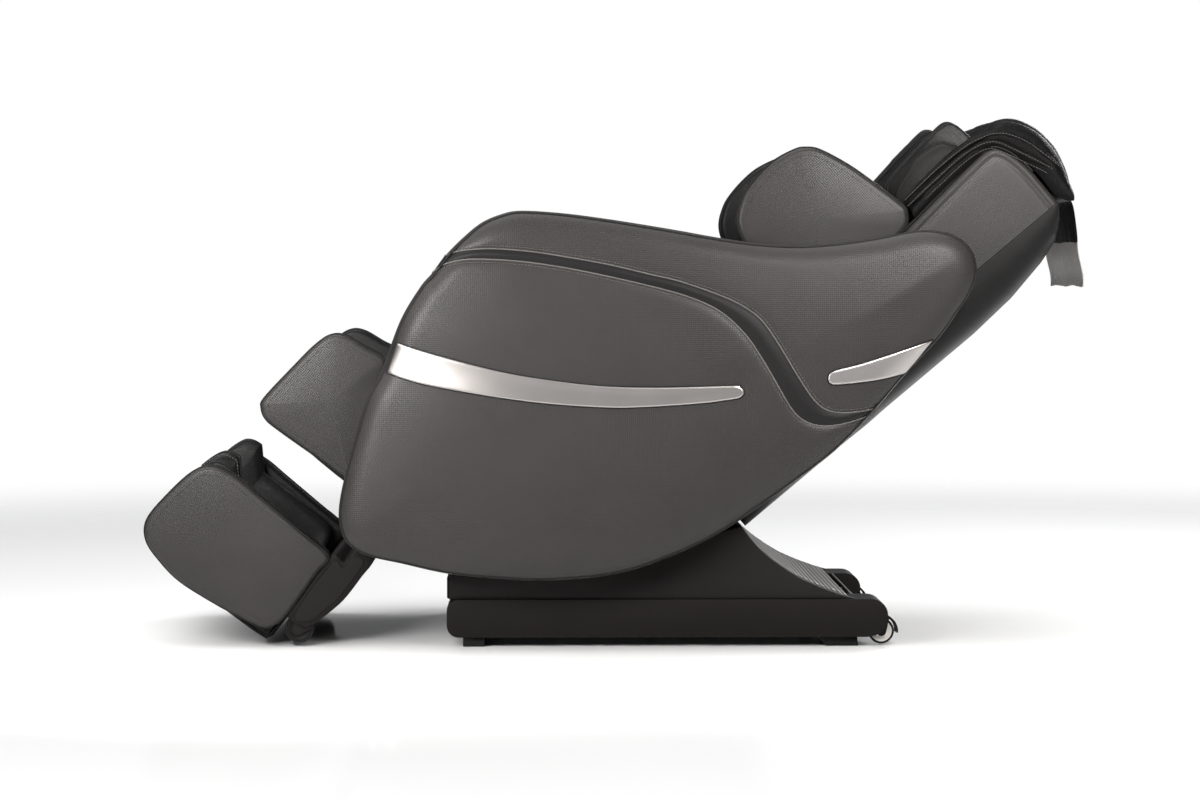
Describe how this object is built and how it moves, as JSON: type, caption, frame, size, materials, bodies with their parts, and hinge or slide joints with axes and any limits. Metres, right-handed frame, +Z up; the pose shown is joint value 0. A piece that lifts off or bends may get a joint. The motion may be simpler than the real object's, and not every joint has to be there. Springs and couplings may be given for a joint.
{
  "type": "massage chair",
  "caption": "Reclining massage chair with tilting seat and arms, hinged back with a roller carriage, lifting leg rest and sliding foot section.",
  "frame": {"origin": "on the floor, at the centre of the chair's length and width", "axes": "+X from the feet towards the head, +Y to the sitter's right, +Z up"},
  "size_m": [1.7701, 0.806, 0.9799],
  "materials": {
    "frame_steel": "satin",
    "black_plastic": "fine grained",
    "deck_plastic": "ribbed satin",
    "foot_rubber": "matte",
    "wheel_plastic": "satin",
    "box_metal": "satin",
    "grey_leather": "embossed",
    "black_leather": "smooth",
    "cover_fabric": "coated, wrinkled",
    "silver_trim": "brushed along its length",
    "button_plastic": "gloss",
    "bright_steel": "ground",
    "arm_alloy": "cast"
  },
  "bodies": {
    "base": {"base_frame": "frame_steel", "skirt_left": "black_plastic", "skirt_right": "black_plastic", "base_cover_left": "black_plastic", "base_cover_right": "black_plastic", "rear_deck": "deck_plastic", "front_cover": "black_plastic", "base_feet": "foot_rubber", "caster_forks": "black_plastic", "control_box": "box_metal", "air_pump": "box_metal", "power_inlet": "black_plastic", "tilt_drive": "box_metal"},
    "rear_wheel_left": {"rear_wheel_left": "wheel_plastic"},
    "rear_wheel_right": {"rear_wheel_right": "wheel_plastic"},
    "power_switch": {"power_switch": "black_plastic"},
    "seat": {"seat_frame": "frame_steel", "seat_cushion": "grey_leather", "side_panel_left": "grey_leather", "side_panel_right": "grey_leather", "arm_band_left": "black_leather", "arm_band_right": "black_leather", "armrest_left": "grey_leather", "armrest_right": "grey_leather", "arm_trim_left": "silver_trim", "arm_trim_right": "silver_trim", "keypad": "black_plastic", "hinge_pins": "bright_steel", "recline_actuator": "box_metal"},
    "button_power": {"button_power": "button_plastic"},
    "button_program": {"button_program": "button_plastic"},
    "button_stop": {"button_stop": "button_plastic"},
    "recline_rod": {"recline_rod": "bright_steel"},
    "backrest": {"back_frame": "frame_steel", "back_shell": "black_plastic", "wing_left": "grey_leather", "wing_right": "grey_leather", "back_cushion": "grey_leather", "head_pillow": "black_leather", "head_cover": "cover_fabric", "shoulder_pad_left": "grey_leather", "shoulder_pad_right": "grey_leather", "lift_screw": "bright_steel"},
    "carriage": {"massage_carriage": "box_metal"},
    "knead_arm_left": {"knead_arm_left": "arm_alloy"},
    "knead_arm_right": {"knead_arm_right": "arm_alloy"},
    "roller_upper_left": {"roller_upper_left": "foot_rubber"},
    "roller_lower_left": {"roller_lower_left": "foot_rubber"},
    "roller_upper_right": {"roller_upper_right": "foot_rubber"},
    "roller_lower_right": {"roller_lower_right": "foot_rubber"},
    "legrest": {"legrest_frame": "frame_steel", "calf_cushion": "black_leather", "calf_pad_left": "grey_leather", "calf_pad_right": "grey_leather"},
    "footrest": {"foot_shell": "black_plastic", "foot_cushion": "black_leather", "foot_pad_left": "grey_leather", "foot_pad_right": "grey_leather"},
    "leg_wheel_left": {"leg_wheel_left": "foot_rubber"},
    "leg_wheel_right": {"leg_wheel_right": "foot_rubber"}
  },
  "joints": [
    {"name": "seat_tilt", "type": "hinge", "parent": "base", "child": "seat", "pos_m": [-0.205, 0, 0.172], "axis": [0, -1, 0], "range_deg": [0, 14]},
    {"name": "backrest_recline", "type": "hinge", "parent": "seat", "child": "backrest", "pos_m": [0.064, 0, 0.365], "axis": [0, -1, 0], "range_deg": [0, 16]},
    {"name": "recline_rod_slide", "type": "slide", "parent": "seat", "child": "recline_rod", "axis": [0.9373, 0, -0.3486], "range_m": [0, 0.042]},
    {"name": "legrest_lift", "type": "hinge", "parent": "seat", "child": "legrest", "pos_m": [-0.337, 0, 0.402], "axis": [0, 1, 0], "range_deg": [0, 50]},
    {"name": "legrest_extend", "type": "slide", "parent": "legrest", "child": "footrest", "axis": [0.599, 0, 0.8007], "range_m": [0, 0.1052]},
    {"name": "carriage_travel", "type": "slide", "parent": "backrest", "child": "carriage", "axis": [0.766, 0, 0.6428], "range_m": [-0.16, 0.3]},
    {"name": "knead_left", "type": "hinge", "parent": "carriage", "child": "knead_arm_left", "pos_m": [0.43874, 0, 0.48624], "axis": [0, 1, 0], "range_deg": [-5, 5]},
    {"name": "knead_right", "type": "hinge", "parent": "carriage", "child": "knead_arm_right", "pos_m": [0.43874, 0, 0.48624], "axis": [0, 1, 0], "range_deg": [-5, 5]},
    {"name": "roller_upper_left_spin", "type": "hinge", "parent": "knead_arm_left", "child": "roller_upper_left", "pos_m": [0.46838, -0.095, 0.54114], "axis": [0, 1, 0], "continuous": true},
    {"name": "roller_lower_left_spin", "type": "hinge", "parent": "knead_arm_left", "child": "roller_lower_left", "pos_m": [0.37952, -0.095, 0.46658], "axis": [0, 1, 0], "continuous": true},
    {"name": "roller_upper_right_spin", "type": "hinge", "parent": "knead_arm_right", "child": "roller_upper_right", "pos_m": [0.46838, 0.095, 0.54114], "axis": [0, 1, 0], "continuous": true},
    {"name": "roller_lower_right_spin", "type": "hinge", "parent": "knead_arm_right", "child": "roller_lower_right", "pos_m": [0.37952, 0.095, 0.46658], "axis": [0, 1, 0], "continuous": true},
    {"name": "rear_wheel_left_spin", "type": "hinge", "parent": "base", "child": "rear_wheel_left", "pos_m": [0.489, -0.262, 0.027], "axis": [0, 1, 0], "continuous": true},
    {"name": "leg_wheel_left_spin", "type": "hinge", "parent": "footrest", "child": "leg_wheel_left", "pos_m": [-0.58975, -0.262, 0.03409], "axis": [0, 1, 0], "continuous": true},
    {"name": "rear_wheel_right_spin", "type": "hinge", "parent": "base", "child": "rear_wheel_right", "pos_m": [0.489, 0.262, 0.027], "axis": [0, 1, 0], "continuous": true},
    {"name": "leg_wheel_right_spin", "type": "hinge", "parent": "footrest", "child": "leg_wheel_right", "pos_m": [-0.58975, 0.262, 0.03409], "axis": [0, 1, 0], "continuous": true},
    {"name": "power_switch_rock", "type": "hinge", "parent": "base", "child": "power_switch", "pos_m": [0.441, 0.01, 0.074], "axis": [0, 1, 0], "range_deg": [0, 16]},
    {"name": "button_power_press", "type": "slide", "parent": "seat", "child": "button_power", "axis": [0, 1, 0], "range_m": [0, 0.002], "stiffness_N_per_m": 400},
    {"name": "button_program_press", "type": "slide", "parent": "seat", "child": "button_program", "axis": [0, 1, 0], "range_m": [0, 0.002], "stiffness_N_per_m": 400},
    {"name": "button_stop_press", "type": "slide", "parent": "seat", "child": "button_stop", "axis": [0, 1, 0], "range_m": [0, 0.002], "stiffness_N_per_m": 400}
  ],
  "couplings": [
    {"joint": "recline_rod_slide", "follows": "backrest_recline", "m_per_rad": 0.14951},
    {"joint": "legrest_extend", "follows": "seat_tilt", "m_per_rad": 0.42972},
    {"joint": "knead_right", "follows": "knead_left", "ratio": -1}
  ]
}
